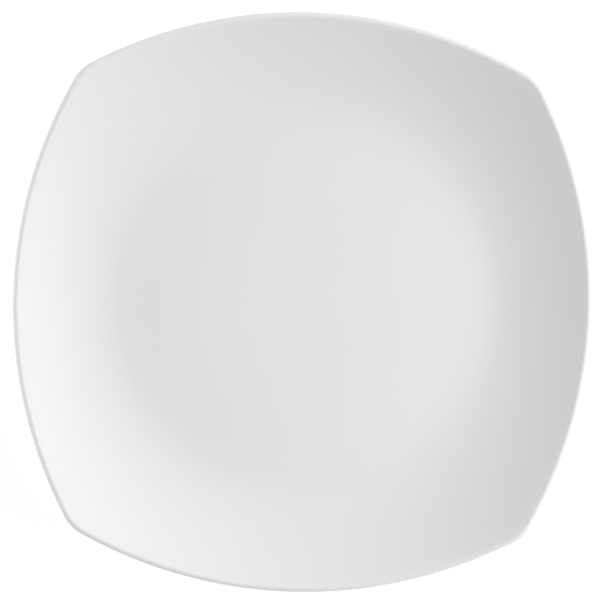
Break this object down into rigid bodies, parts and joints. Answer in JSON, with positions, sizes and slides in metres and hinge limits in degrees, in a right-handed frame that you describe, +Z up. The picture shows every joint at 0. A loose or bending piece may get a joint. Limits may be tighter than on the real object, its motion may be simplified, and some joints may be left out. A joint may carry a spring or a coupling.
{
  "type": "square salad plate",
  "caption": "Square coupe salad plate in white glazed porcelain: round well, bowed sides, lifted rounded corners, and a bare foot ring to stand on.",
  "frame": {"origin": "on the table, under the middle of the plate", "axes": "+Z up out of the eating face; +X and +Y through the middles of two neighbouring sides"},
  "size_m": [0.216, 0.216, 0.0254],
  "materials": {
    "bare_porcelain": "unglazed, ground on the foot",
    "clear_glaze": "gloss"
  },
  "bodies": {
    "root": {"porcelain_body": "bare_porcelain", "face_glaze": "clear_glaze", "back_glaze": "clear_glaze", "recess_glaze": "clear_glaze"}
  },
  "joints": []
}
